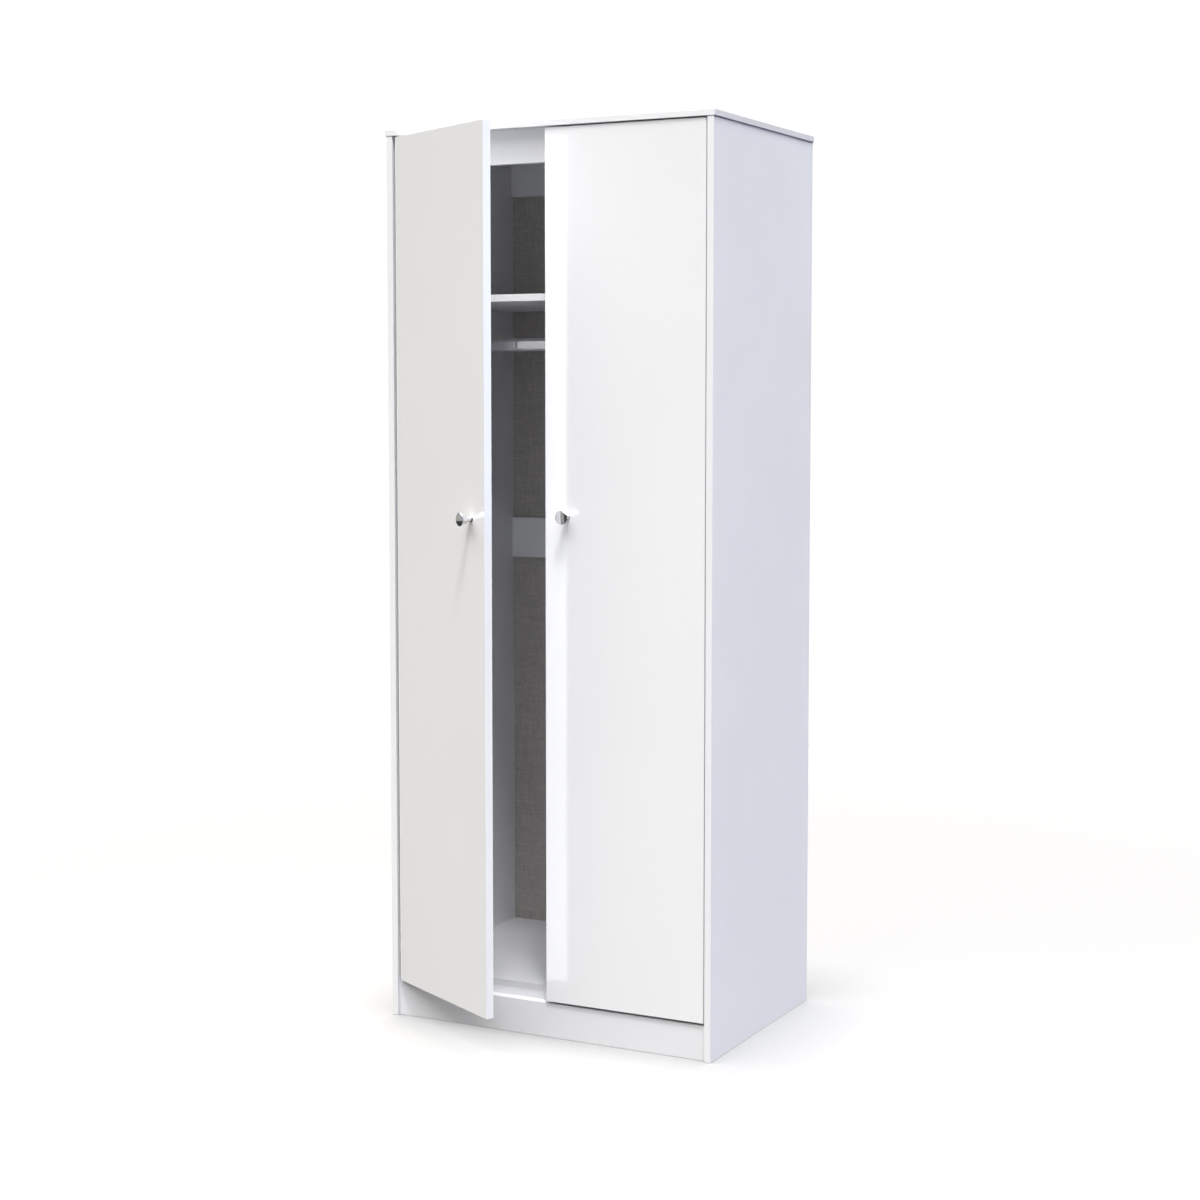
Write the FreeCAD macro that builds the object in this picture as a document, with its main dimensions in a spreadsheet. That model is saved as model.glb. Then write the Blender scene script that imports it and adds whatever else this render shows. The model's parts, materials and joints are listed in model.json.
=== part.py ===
import FreeCAD, Part
import math
import os
import re
from collections import namedtuple

import Sketcher

# A two-door wardrobe of coated board, drawn the way it is assembled.
# +X is to the right of someone facing the doors, +Y runs to the back and +Z up.
# The origin lies on the floor under the middle of the plinth board.
# Every piece is drawn with both doors shut. The left door's pieces are then turned
# about their hinge axes to the angle at which that door stands ajar.

# Driving dimensions in millimetres and degrees, kept in the spreadsheet.
DIMENSIONS = [
    # carcass boards
    ("body_height", 1957.0),
    ("body_width", 786.6),
    ("body_depth", 535.2),
    ("side_board", 15.0),
    ("top_board", 13.0),
    ("top_side_overhang", 2.1),
    ("top_front_overhang", 1.0),
    ("back_board", 3.2),
    ("back_board_margin", 2.0),
    ("back_board_foot", 60.0),
    ("back_joint_gap", 0.6),
    ("edge_radius", 0.6),
    # base
    ("plinth_board", 21.0),
    ("plinth_height", 75.5),
    ("plinth_recess", 7.0),
    ("floor_top", 107.7),
    ("floor_board", 14.0),
    ("base_rail_board", 15.0),
    ("base_rail_foot", 12.0),
    # rails and shelf
    ("front_rail_bottom", 1884.0),
    ("front_rail_setback", 22.0),
    ("front_rail_board", 15.0),
    ("back_rail_board", 12.0),
    ("top_back_rail_bottom", 1866.0),
    ("middle_rail_bottom", 1001.0),
    ("middle_rail_top", 1097.0),
    ("rail_dowel_inset", 15.0),
    ("shelf_bottom", 1593.0),
    ("shelf_board", 15.0),
    ("shelf_setback", 25.0),
    # hanging rail, an oval tube standing on its narrow side
    ("tube_height", 30.0),
    ("tube_width", 15.0),
    ("tube_wall", 1.0),
    ("tube_centre", 1505.9),
    ("tube_from_front", 278.0),
    ("tube_end_gap", 0.5),
    ("socket_plate", 2.0),
    ("socket_depth", 12.0),
    ("socket_wall", 1.6),
    ("socket_play", 0.15),
    ("socket_tab", 11.0),
    ("socket_lip", 1.5),
    # doors
    ("door_board", 18.2),
    ("door_setback", 2.0),
    ("door_side_gap", 3.1),
    ("door_middle_gap", 2.6),
    ("door_bottom", 80.7),
    ("door_top", 1954.2),
    ("door_radius", 0.7),
    ("axis_from_side", 3.65),
    ("axis_ahead_of_front", 5.1),
    ("ajar_angle", 28.76),
    # knobs
    ("knob_from_middle", 54.5),
    ("knob_height", 1134.0),
    ("knob_reach", 30.0),
    ("knob_face_radius", 14.6),
    ("knob_crown", 0.7),
    ("knob_rim_round", 1.0),
    ("knob_rim_width", 2.6),
    ("knob_flare_end", 4.4),
    ("knob_neck_radius", 5.6),
    ("knob_neck_start", 3.2),
    ("knob_neck_end", 8.0),
    ("knob_neck_swell", 0.3),
    ("knob_seat_radius", 7.0),
    ("knob_seat_taper", 0.4),
    ("knob_seat_height", 1.2),
    ("knob_bore", 4.2),
    ("knob_bore_depth", 12.0),
    ("knob_screw_body", 4.0),
    ("knob_screw_head", 8.5),
    ("knob_screw_head_height", 2.4),
    ("knob_screw_hole", 4.6),
    ("knob_screw_end_gap", 2.0),
    # concealed hinges
    ("hinge_count", 4),
    ("hinge_end_margin", 110.0),
    ("cup_from_edge", 22.0),
    ("cup_radius", 17.4),
    ("cup_hole_radius", 17.5),
    ("cup_depth", 13.0),
    ("cup_hole_depth", 13.1),
    ("cup_wall", 0.8),
    ("cup_flange", 1.0),
    ("cup_flange_radius", 19.5),
    ("cup_ear_radius", 6.5),
    ("cup_screw_offset", 4.0),
    ("cup_screw_spacing", 48.0),
    ("cup_screw_hole_depth", 11.0),
    ("cup_screw_head", 6.6),
    ("pin_from_side", 57.56),
    ("pin_from_front", 25.64),
    ("pin_radius", 1.5),
    ("pin_play", 0.06),
    ("tip_from_side", 13.92),
    ("tip_from_front", 12.81),
    ("heel_from_side", 33.35),
    ("heel_from_front", 11.54),
    ("crest_from_side", 46.35),
    ("crest_from_front", 33.9),
    ("link_turn_ratio", 0.4229),
    ("link_half_thickness", 0.75),
    ("link_tip_radius", 1.1),
    ("link_eye_radius", 2.8),
    ("link_height", 11.0),
    ("arm_nose_radius", 3.9),
    ("arm_height", 15.0),
    ("arm_slot_height", 11.6),
    ("arm_tail_from_front", 88.0),
    ("arm_rise", 12.0),
    ("arm_web_from_front", 37.2),
    ("arm_web_thickness", 4.5),
    ("arm_nose_trim", 0.4),
    ("arm_foot_lead", 2.0),
    ("arm_crank_rise", 1.6),
    ("arm_crank_depth", 1.8),
    ("arm_neck_from_pin", 17.0),
    ("arm_neck_depth", 12.8),
    ("arm_shoulder_depth", 18.8),
    ("arm_cheek_lap", 1.0),
    ("arm_slot_tail", 26.0),
    ("arm_slot_nose", 6.0),
    ("plate_thickness", 2.4),
    ("plate_start_from_front", 48.0),
    ("plate_end_from_front", 78.0),
    ("plate_height", 46.0),
    ("plate_screw_from_front", 57.0),
    ("plate_screw_spacing", 32.0),
    ("euro_screw_body", 5.0),
    ("euro_screw_hole", 5.1),
    ("euro_screw_head", 8.4),
    ("euro_screw_depth", 11.0),
    ("euro_screw_bite", 10.0),
    ("arm_screw_from_front", 70.0),
    ("arm_screw_body", 3.0),
    ("arm_screw_hole", 3.2),
    ("arm_screw_slot", 4.4),
    ("arm_screw_head", 7.2),
    ("arm_screw_head_height", 2.2),
    ("arm_screw_end_gap", 0.3),
    # fittings that hold the boards together
    ("cam_radius", 7.4),
    ("cam_hole_radius", 7.5),
    ("cam_depth", 11.5),
    ("cam_hole_depth", 11.6),
    ("cam_from_end", 34.0),
    ("cam_bolt_body", 6.0),
    ("cam_bolt_hole", 6.1),
    ("cam_bolt_bore", 8.0),
    ("cam_bolt_gap", 0.5),
    ("dowel_body", 8.0),
    ("dowel_hole", 8.1),
    ("dowel_in_side", 10.0),
    ("dowel_in_board", 19.5),
    ("dowel_end_play", 0.5),
    ("fitting_in_top", 8.5),
    ("front_fitting", 60.0),
    ("rear_fitting", 475.0),
    ("top_rear_cam", 280.0),
    ("dowel_step", 32.0),
    ("small_screw_body", 3.5),
    ("small_screw_hole", 3.6),
    ("small_screw_head", 7.0),
    ("small_screw_bite", 10.0),
    ("screw_head_height", 1.8),
    ("plinth_screw_step", 300.0),
    ("plinth_screw_height", 45.0),
    ("plinth_screw_bite", 15.0),
    ("nail_body", 1.5),
    ("nail_head", 3.6),
    ("nail_head_height", 0.8),
    ("nail_length", 14.0),
    ("nail_inset", 7.5),
    ("nail_first_height", 100.0),
    ("nail_step", 150.0),
    ("nail_count", 13),
    ("nail_row_step", 130.0),
    ("nail_top_inset", 20.0),
    ("nail_joint_inset", 12.0),
]
VALUES = dict(DIMENSIONS)

# Places that several pieces share, as formulas over the sheet's names.
FRONT = "(0 - plinth_recess - plinth_board / 2)"
REAR = "(body_depth - plinth_recess - plinth_board / 2)"
INNER = "(body_width / 2 - side_board)"
SIDE_MIDDLE = "(body_width / 2 - side_board / 2)"
DOOR_FACE = f"({FRONT} + door_setback)"
DOOR_BACK = f"({FRONT} + door_setback + door_board)"
DOOR_EDGE = f"({INNER} - door_side_gap)"
BASE_RAIL_FACE = "(plinth_board / 2)"
FLOOR_BOTTOM = "(floor_top - floor_board)"
BACK_JOINT = "((middle_rail_bottom + middle_rail_top) / 2)"
TUBE_Y = f"({FRONT} + tube_from_front)"
PIN_X = f"({INNER} - pin_from_side)"
PIN_Y = f"({FRONT} + pin_from_front)"
AXIS_X = f"({INNER} - axis_from_side)"
AXIS_Y = f"({FRONT} - axis_ahead_of_front)"
CUP_X = f"({DOOR_EDGE} - cup_from_edge)"

# An upright rail: its faces, its ends, and which of its faces takes the cams.
Rail = namedtuple("Rail", "front back foot top cam_face")

LEFT = -1
RIGHT = 1
SIDES = {"left": LEFT, "right": RIGHT}

# Sketch plane for each axis, and the sense of that plane's normal along the axis.
PLANES = {"x": ("YZ_Plane", 1), "y": ("XZ_Plane", -1), "z": ("XY_Plane", 1)}

doc = FreeCAD.newDocument("wardrobe")
sheet = doc.addObject("Spreadsheet::Sheet", "sheet")
for row, (alias, size) in enumerate(DIMENSIONS, start=1):
    sheet.set(f"A{row}", alias)
    sheet.set(f"B{row}", str(size))
    sheet.setAlias(f"B{row}", alias)
doc.recompute()

NAMES = re.compile(r"\b(" + "|".join(sorted(VALUES, key=len, reverse=True)) + r")\b")
kept = []


def bound(formula):
    """The formula as an expression that reads the sheet."""
    return NAMES.sub(r"sheet.\1", str(formula))


def number(formula):
    """The formula's value now."""
    result = sheet.evalExpression(bound(formula))
    return float(getattr(result, "Value", result))


def new_body(name):
    """An empty body whose label names the piece."""
    body = doc.addObject("PartDesign::Body", name)
    body.Label = name
    body.AllowCompound = True
    kept.append(body)
    return body


def add_sketch(body, axis, offset):
    """A sketch on the body's own origin plane across an axis, moved along that axis."""
    role, sense = PLANES[axis]
    sketch = body.newObject("Sketcher::SketchObject", "sketch")
    plane = [item for item in body.Origin.OriginFeatures if item.Role == role][0]
    sketch.AttachmentSupport = (plane, [""])
    sketch.MapMode = "FlatFace"
    sketch.setExpression("AttachmentOffset.Base.z", bound(f"{sense} * ({offset})"))
    return sketch


def pin_point(sketch, geometry, point, place):
    """Tie one point of a sketch to formulas for its two coordinates."""
    for kind, formula in zip(("DistanceX", "DistanceY"), place):
        value = number(formula)
        index = sketch.addConstraint(Sketcher.Constraint(kind, -1, 1, geometry, point, value))
        sketch.setExpression(f"Constraints[{index}]", bound(formula))


def draw_circles(sketch, centres, radius):
    for u, v in centres:
        centre = FreeCAD.Vector(number(u), number(v), 0)
        circle = Part.Circle(centre, FreeCAD.Vector(0, 0, 1), number(radius))
        geometry = sketch.addGeometry(circle, False)
        index = sketch.addConstraint(Sketcher.Constraint("Radius", geometry, number(radius)))
        sketch.setExpression(f"Constraints[{index}]", bound(radius))
        pin_point(sketch, geometry, 3, (u, v))


def draw_polygon(sketch, corners):
    """A closed outline through corners given as pairs of formulas."""
    points = [FreeCAD.Vector(number(u), number(v), 0) for u, v in corners]
    count = len(points)
    for i in range(count):
        sketch.addGeometry(Part.LineSegment(points[i], points[(i + 1) % count]), False)
    for i in range(count):
        sketch.addConstraint(Sketcher.Constraint("Coincident", i, 2, (i + 1) % count, 1))
    for i, corner in enumerate(corners):
        pin_point(sketch, i, 1, corner)


def rectangle(u0, u1, v0, v1):
    return [(u0, v0), (u1, v0), (u1, v1), (u0, v1)]


def extrude(body, kind, axis, sketch, length, sense):
    """Pad or pocket a sketch by a length towards +axis (sense 1) or -axis (sense -1)."""
    before = body.Shape.Volume if body.Tip else 0.0
    feature = body.newObject(kind, "feature")
    feature.Profile = sketch
    feature.setExpression("Length", bound(length))
    normal = PLANES[axis][1]
    along = sense == normal
    feature.Reversed = (not along) if kind == "PartDesign::Pad" else along
    doc.recompute()
    change = body.Shape.Volume - before
    if (kind == "PartDesign::Pad") != (change > 0) or abs(change) < 1e-6:
        raise ValueError(f"{body.Label}: {kind} changed the volume by {change:.3f}")
    return feature


def add(body, axis, sense, start, length, corners=None, centres=None, radius=None):
    """Material from a plane: an outline or a set of equal discs."""
    sketch = add_sketch(body, axis, start)
    if corners:
        draw_polygon(sketch, corners)
    if centres:
        draw_circles(sketch, centres, radius)
    return extrude(body, "PartDesign::Pad", axis, sketch, length, sense)


def cut(body, axis, sense, start, length, corners=None, centres=None, radius=None):
    """The same outline or discs taken away."""
    sketch = add_sketch(body, axis, start)
    if corners:
        draw_polygon(sketch, corners)
    if centres:
        draw_circles(sketch, centres, radius)
    return extrude(body, "PartDesign::Pocket", axis, sketch, length, sense)


def board(name, x, y, z, radius="edge_radius"):
    """A rectangular board between pairs of formulas, with every arris lightly eased."""
    body = new_body(name)
    block = add(body, "z", 1, z[0], f"({z[1]}) - ({z[0]})", corners=rectangle(*x, *y))
    eased = body.newObject("PartDesign::Fillet", "eased_edges")
    eased.Base = (block, [f"Edge{i + 1}" for i in range(len(block.Shape.Edges))])
    eased.setExpression("Radius", bound(radius))
    doc.recompute()
    return body


def turn(body, x, y, degrees):
    """Turn a finished piece about an upright axis."""
    centre = FreeCAD.Vector(number(x), number(y), 0)
    spin = FreeCAD.Rotation(FreeCAD.Vector(0, 0, 1), degrees)
    body.Placement = FreeCAD.Placement(FreeCAD.Vector(), spin, centre)


def shut_to_rest(body, side):
    """The left door stands ajar, the right one is shut."""
    if side == LEFT:
        turn(body, f"-1 * {AXIS_X}", AXIS_Y, -VALUES["ajar_angle"])


def hinge_heights():
    """Heights of the hinge centres, evenly spaced down the door."""
    count = VALUES["hinge_count"]
    span = "(door_top - door_bottom - 2 * hinge_end_margin)"
    return [f"(door_bottom + hinge_end_margin + {span} * {i} / {count - 1})" for i in range(count)]


# Where the boards' fittings sit.

def board_end_rows():
    """Front-to-back places of the cams and dowels in the floor and the shelf."""
    cams = [f"({FRONT} + front_fitting)", f"({FRONT} + rear_fitting)"]
    dowels = [
        f"({FRONT} + front_fitting + dowel_step)",
        f"({FRONT} + rear_fitting - dowel_step)",
    ]
    return cams, dowels


def top_rows():
    """The same for the top. Its cams sit in the sides, well forward, where the rail hides them."""
    _, dowels = board_end_rows()
    cams = [f"({FRONT} + front_fitting)", f"({FRONT} + top_rear_cam)"]
    return cams, dowels


def level_boards():
    """Underside and mid-thickness of the two boards held between the sides by cams."""
    return [
        (FLOOR_BOTTOM, f"({FLOOR_BOTTOM} + floor_board / 2)"),
        ("shelf_bottom", "(shelf_bottom + shelf_board / 2)"),
    ]


def upright_rails():
    """Every upright rail between the sides."""
    head = f"({FRONT} + front_rail_setback)"
    head_back = f"({head} + front_rail_board)"
    thin = f"({REAR} - back_rail_board)"
    base_back = f"({BASE_RAIL_FACE} + base_rail_board)"
    rear = f"({REAR} - base_rail_board)"
    return {
        "front_top_rail": Rail(head, head_back, "front_rail_bottom", "body_height", "back"),
        "back_top_rail": Rail(thin, REAR, "top_back_rail_bottom", "body_height", None),
        "back_middle_rail": Rail(thin, REAR, "middle_rail_bottom", "middle_rail_top", None),
        "base_front_rail": Rail(BASE_RAIL_FACE, base_back, "base_rail_foot", FLOOR_BOTTOM, "back"),
        "base_back_rail": Rail(rear, REAR, "0", FLOOR_BOTTOM, "front"),
    }


def rail_dowels(rail):
    """A dowel near each edge of the rail, in its middle plane."""
    middle = f"(({rail.front} + {rail.back}) / 2)"
    return [(middle, f"({rail.foot} + rail_dowel_inset)"), (middle, f"({rail.top} - rail_dowel_inset)")]


def rail_bolts(rail):
    """The cam bolt half way up the rail, if cams hold it."""
    if rail.cam_face is None:
        return []
    return [(f"(({rail.front} + {rail.back}) / 2)", rail_cam_height(rail))]


def rail_cam_height(rail):
    return f"(({rail.foot} + {rail.top}) / 2)"


def rail_cam_side(rail):
    """The face that takes the rail's cams, and the way into the board from it."""
    return (rail.back, -1) if rail.cam_face == "back" else (rail.front, 1)


def side_dowels():
    """Every dowel between a side and the boards that stand or lie against it."""
    _, rows = board_end_rows()
    places = [(y, mid) for _, mid in level_boards() for y in rows]
    for rail in upright_rails().values():
        places += rail_dowels(rail)
    return places


def side_bolts():
    """Every cam bolt screwed into a side's inner face."""
    rows, _ = board_end_rows()
    places = [(y, mid) for _, mid in level_boards() for y in rows]
    for rail in upright_rails().values():
        places += rail_bolts(rail)
    return places


def side_panel(name, side):
    """One side, drilled on its inner face and in its top end."""
    outer = f"{side} * body_width / 2"
    inner = f"{side} * {INNER}"
    low, high = (outer, inner) if side == LEFT else (inner, outer)
    body = board(name, (low, high), (FRONT, REAR), ("0", "body_height"))
    cut(body, "x", side, inner, "dowel_in_side + dowel_end_play",
        centres=side_dowels(), radius="dowel_hole / 2")
    cut(body, "x", side, inner, "dowel_in_side + dowel_end_play",
        centres=side_bolts(), radius="cam_bolt_hole / 2")
    cams, dowels = top_rows()
    cut(body, "x", side, inner, "cam_hole_depth",
        centres=[(y, "(body_height - cam_from_end)") for y in cams], radius="cam_hole_radius")
    middle = f"{side} * {SIDE_MIDDLE}"
    cut(body, "z", -1, "body_height", "cam_from_end",
        centres=[(middle, y) for y in cams], radius="cam_bolt_bore / 2")
    cut(body, "z", -1, "body_height", "dowel_in_board + dowel_end_play",
        centres=[(middle, y) for y in dowels], radius="dowel_hole / 2")
    cut(body, "x", side, inner, "euro_screw_depth",
        centres=plate_screw_places(), radius="euro_screw_hole / 2")
    cut(body, "x", side, inner, "euro_screw_depth",
        centres=socket_screw_places(), radius="small_screw_hole / 2")


def socket_screw_places():
    """The two screws of a hanging-rail socket, above and below the tube."""
    reach = "(tube_height / 2 + socket_wall + socket_tab / 2)"
    return [(TUBE_Y, f"(tube_centre - {reach})"), (TUBE_Y, f"(tube_centre + {reach})")]


def top_panel():
    """The top, lying on the sides with a small overhang and covering the back's edge."""
    half = "(body_width / 2 + top_side_overhang)"
    body = board("top_panel", (f"-1 * {half}", half),
                 (f"({FRONT} - top_front_overhang)", f"({REAR} + back_board)"),
                 ("body_height", "body_height + top_board"))
    cams, dowels = top_rows()
    middles = [f"{side} * {SIDE_MIDDLE}" for side in SIDES.values()]
    cut(body, "z", 1, "body_height", "fitting_in_top + dowel_end_play",
        centres=[(x, y) for x in middles for y in cams], radius="cam_bolt_hole / 2")
    cut(body, "z", 1, "body_height", "fitting_in_top + dowel_end_play",
        centres=[(x, y) for x in middles for y in dowels], radius="dowel_hole / 2")


def end_drill(body, side, pegs, bolts):
    """Dowel and bolt holes in the end of a board that stands between the sides."""
    end = f"{side} * {INNER}"
    cut(body, "x", -side, end, "dowel_in_board + dowel_end_play",
        centres=pegs, radius="dowel_hole / 2")
    if bolts:
        cut(body, "x", -side, end, "cam_from_end", centres=bolts, radius="cam_bolt_bore / 2")


def level_board(name, y_front, z_low, z_high, z_mid):
    """A horizontal board between the sides, with cams let into its underside."""
    body = board(name, (f"-1 * {INNER}", INNER), (y_front, REAR), (z_low, z_high))
    cams, dowels = board_end_rows()
    for side in SIDES.values():
        end_drill(body, side, [(y, z_mid) for y in dowels], [(y, z_mid) for y in cams])
        cut(body, "z", 1, z_low, "cam_hole_depth",
            centres=[(f"{side} * ({INNER} - cam_from_end)", y) for y in cams],
            radius="cam_hole_radius")


def upright_rail(name, rail):
    """An upright board between the sides, with cams let into one face of the thick ones."""
    body = board(name, (f"-1 * {INNER}", INNER), (rail.front, rail.back), (rail.foot, rail.top))
    for side in SIDES.values():
        end_drill(body, side, rail_dowels(rail), rail_bolts(rail))
        if rail.cam_face:
            face, sense = rail_cam_side(rail)
            cut(body, "y", sense, face, "cam_hole_depth",
                centres=[(f"{side} * ({INNER} - cam_from_end)", rail_cam_height(rail))],
                radius="cam_hole_radius")
    if name == "base_front_rail":
        cut(body, "y", 1, BASE_RAIL_FACE, "base_rail_board",
            centres=plinth_screw_places(), radius="small_screw_hole / 2")


def plinth_screw_places():
    """Three screws that hold the plinth to the rail behind it."""
    return [(f"{step} * plinth_screw_step", "plinth_screw_height") for step in (-1, 0, 1)]


def plinth_board():
    body = board("plinth_board", (f"-1 * {INNER}", INNER),
                 ("-1 * plinth_board / 2", "plinth_board / 2"), ("0", "plinth_height"))
    cut(body, "y", -1, BASE_RAIL_FACE, "plinth_screw_bite + dowel_end_play",
        centres=plinth_screw_places(), radius="small_screw_hole / 2")


def back_panels():
    """Two thin boards on the rear edges. They meet on the middle rail."""
    half = "(body_width / 2 - back_board_margin)"
    depth = (REAR, f"({REAR} + back_board)")
    spans = {
        "lower_back_panel": ("back_board_foot", f"({BACK_JOINT} - back_joint_gap / 2)"),
        "upper_back_panel": (f"({BACK_JOINT} + back_joint_gap / 2)", "body_height"),
    }
    for name, span in spans.items():
        body = new_body(name)
        add(body, "z", 1, span[0], f"({span[1]}) - ({span[0]})",
            corners=rectangle(f"-1 * {half}", half, *depth))


def nail_places():
    """Nails along the back's sides, top, foot and both sides of the middle joint."""
    edge = "(body_width / 2 - nail_inset)"
    places = []
    for side in SIDES.values():
        places += [(f"{side} * {edge}", f"(nail_first_height + {i} * nail_step)")
                   for i in range(VALUES["nail_count"])]
    rows = [
        "(body_height - nail_top_inset)",
        f"({BACK_JOINT} + nail_joint_inset)",
        f"({BACK_JOINT} - nail_joint_inset)",
        level_boards()[0][1],
    ]
    for z in rows:
        places += [(f"{i} * nail_row_step", z) for i in range(-2, 3)]
    return places


def back_panel_nails():
    body = new_body("back_panel_nails")
    face = f"({REAR} + back_board)"
    add(body, "y", -1, face, "nail_length", centres=nail_places(), radius="nail_body / 2")
    add(body, "y", -1, face, "nail_head_height", centres=nail_places(), radius="nail_head / 2")


def slot_outline(sketch, half_width, straight):
    """Two upright lines joined by half circles, about the tube's centre line."""
    y, z = number(TUBE_Y), number("tube_centre")
    r, s = number(half_width), number(straight)
    low = FreeCAD.Vector(y, z - s, 0)
    high = FreeCAD.Vector(y, z + s, 0)
    normal = FreeCAD.Vector(0, 0, 1)
    across = FreeCAD.Vector(r, 0, 0)
    sketch.addGeometry(Part.LineSegment(low + across, high + across), False)
    sketch.addGeometry(Part.ArcOfCircle(Part.Circle(high, normal, r), 0, math.pi), False)
    sketch.addGeometry(Part.LineSegment(high - across, low - across), False)
    sketch.addGeometry(Part.ArcOfCircle(Part.Circle(low, normal, r), math.pi, 2 * math.pi), False)
    for first, second in ((0, 1), (1, 2), (2, 3), (3, 0)):
        sketch.addConstraint(Sketcher.Constraint("Tangent", first, 2, second, 1))
    pin_point(sketch, 1, 3, (TUBE_Y, f"(tube_centre + {straight})"))
    pin_point(sketch, 3, 3, (TUBE_Y, f"(tube_centre - {straight})"))
    index = sketch.addConstraint(Sketcher.Constraint("Radius", 1, r))
    sketch.setExpression(f"Constraints[{index}]", bound(half_width))


def slot_solid(body, kind, sense, start, length, half_width, half_height):
    sketch = add_sketch(body, "x", start)
    slot_outline(sketch, half_width, f"({half_height} - {half_width})")
    return extrude(body, kind, "x", sketch, length, sense)


def hanging_rail():
    """The oval tube, from socket to socket."""
    body = new_body("hanging_rail")
    reach = f"({INNER} - socket_plate - tube_end_gap)"
    start = f"-1 * {reach}"
    slot_solid(body, "PartDesign::Pad", 1, start, f"2 * {reach}", "tube_width / 2",
               "tube_height / 2")
    slot_solid(body, "PartDesign::Pocket", 1, start, f"2 * {reach}",
               "(tube_width / 2 - tube_wall)", "(tube_height / 2 - tube_wall)")


def rail_socket(name, side):
    """A plate with a collar that the tube's end sits in, and two screw tabs."""
    body = new_body(name)
    face = f"{side} * {INNER}"
    tab_reach = "(tube_height / 2 + socket_wall + socket_tab)"
    plate_width = "(tube_width / 2 + socket_wall + socket_lip)"
    slot_solid(body, "PartDesign::Pad", -side, face, "socket_plate", plate_width, tab_reach)
    slot_solid(body, "PartDesign::Pad", -side, face, "socket_depth",
               "(tube_width / 2 + socket_wall)", "(tube_height / 2 + socket_wall)")
    slot_solid(body, "PartDesign::Pocket", -side, f"{side} * ({INNER} - socket_plate)",
               "socket_depth", "(tube_width / 2 + socket_play)",
               "(tube_height / 2 + socket_play)")
    cut(body, "x", -side, face, "socket_plate",
        centres=socket_screw_places(), radius="small_screw_hole / 2")


def rail_socket_screws():
    body = new_body("rail_socket_screws")
    for side in SIDES.values():
        seat = f"{side} * ({INNER} - socket_plate)"
        add(body, "x", side, seat, "socket_plate + small_screw_bite",
            centres=socket_screw_places(), radius="small_screw_body / 2")
        add(body, "x", -side, seat, "screw_head_height",
            centres=socket_screw_places(), radius="small_screw_head / 2")


def door(name, side):
    """One door, with blind cup holes in its back and a through hole for the knob screw."""
    edge = f"{side} * {DOOR_EDGE}"
    free = f"{side} * door_middle_gap / 2"
    low, high = (edge, free) if side == LEFT else (free, edge)
    body = board(name, (low, high), (DOOR_FACE, DOOR_BACK), ("door_bottom", "door_top"),
                 radius="door_radius")
    cups = [(f"{side} * {CUP_X}", z) for z in hinge_heights()]
    cut(body, "y", -1, DOOR_BACK, "cup_hole_depth", centres=cups, radius="cup_hole_radius")
    cut(body, "y", -1, DOOR_BACK, "cup_screw_hole_depth", centres=cup_screw_places(side),
        radius="small_screw_hole / 2")
    cut(body, "y", -1, DOOR_BACK, "door_board",
        centres=[(f"{side} * knob_from_middle", "knob_height")], radius="knob_screw_hole / 2")
    shut_to_rest(body, side)


def cup_screw_places(side):
    x = f"{side} * ({CUP_X} - cup_screw_offset)"
    return [(x, f"({z} + {sense} * cup_screw_spacing / 2)")
            for z in hinge_heights() for sense in (-1, 1)]


def hinge_cups(name, side):
    """Round pots sunk in the door's back, each with a flange and two screw ears."""
    body = new_body(name)
    x = f"{side} * {CUP_X}"
    cups = [(x, z) for z in hinge_heights()]
    add(body, "y", -1, DOOR_BACK, "cup_depth", centres=cups, radius="cup_radius")
    add(body, "y", 1, DOOR_BACK, "cup_flange", centres=cups, radius="cup_flange_radius")
    screw_x = f"{side} * ({CUP_X} - cup_screw_offset)"
    for z in hinge_heights():
        strip = rectangle(f"({screw_x} - cup_ear_radius)", f"({screw_x} + cup_ear_radius)",
                          f"({z} - cup_screw_spacing / 2)", f"({z} + cup_screw_spacing / 2)")
        add(body, "y", 1, DOOR_BACK, "cup_flange", corners=strip)
    add(body, "y", 1, DOOR_BACK, "cup_flange", centres=cup_screw_places(side),
        radius="cup_ear_radius")
    mouth = f"({DOOR_BACK} + cup_flange)"
    cut(body, "y", -1, mouth, "cup_depth + cup_flange - cup_wall", centres=cups,
        radius="(cup_radius - cup_wall)")
    cut(body, "y", -1, mouth, "cup_flange", centres=cup_screw_places(side),
        radius="small_screw_hole / 2")
    shut_to_rest(body, side)


def hinge_cup_screws(name, side):
    body = new_body(name)
    mouth = f"({DOOR_BACK} + cup_flange)"
    add(body, "y", -1, mouth, "cup_flange + small_screw_bite", centres=cup_screw_places(side),
        radius="small_screw_body / 2")
    add(body, "y", 1, mouth, "screw_head_height", centres=cup_screw_places(side),
        radius="cup_screw_head / 2")
    shut_to_rest(body, side)


def plan_points(side, points):
    """Plan points given from the side's inner face and from the carcass front."""
    return [(f"{side} * ({INNER} - ({x}))", f"({FRONT} + ({y}))") for x, y in points]


def strap_corners(start, end):
    """Corners of a thin strap between two plan points, each given as a pair of formulas."""
    run = [number(end[i]) - number(start[i]) for i in (0, 1)]
    length = (run[0] ** 2 + run[1] ** 2) ** 0.5
    across = (-run[1] / length, run[0] / length)
    corners = []
    for point, sense in ((start, 1), (end, 1), (end, -1), (start, -1)):
        corners.append(tuple(f"({point[i]}) + {sense * across[i]:.6f} * link_half_thickness"
                             for i in (0, 1)))
    return corners


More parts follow.
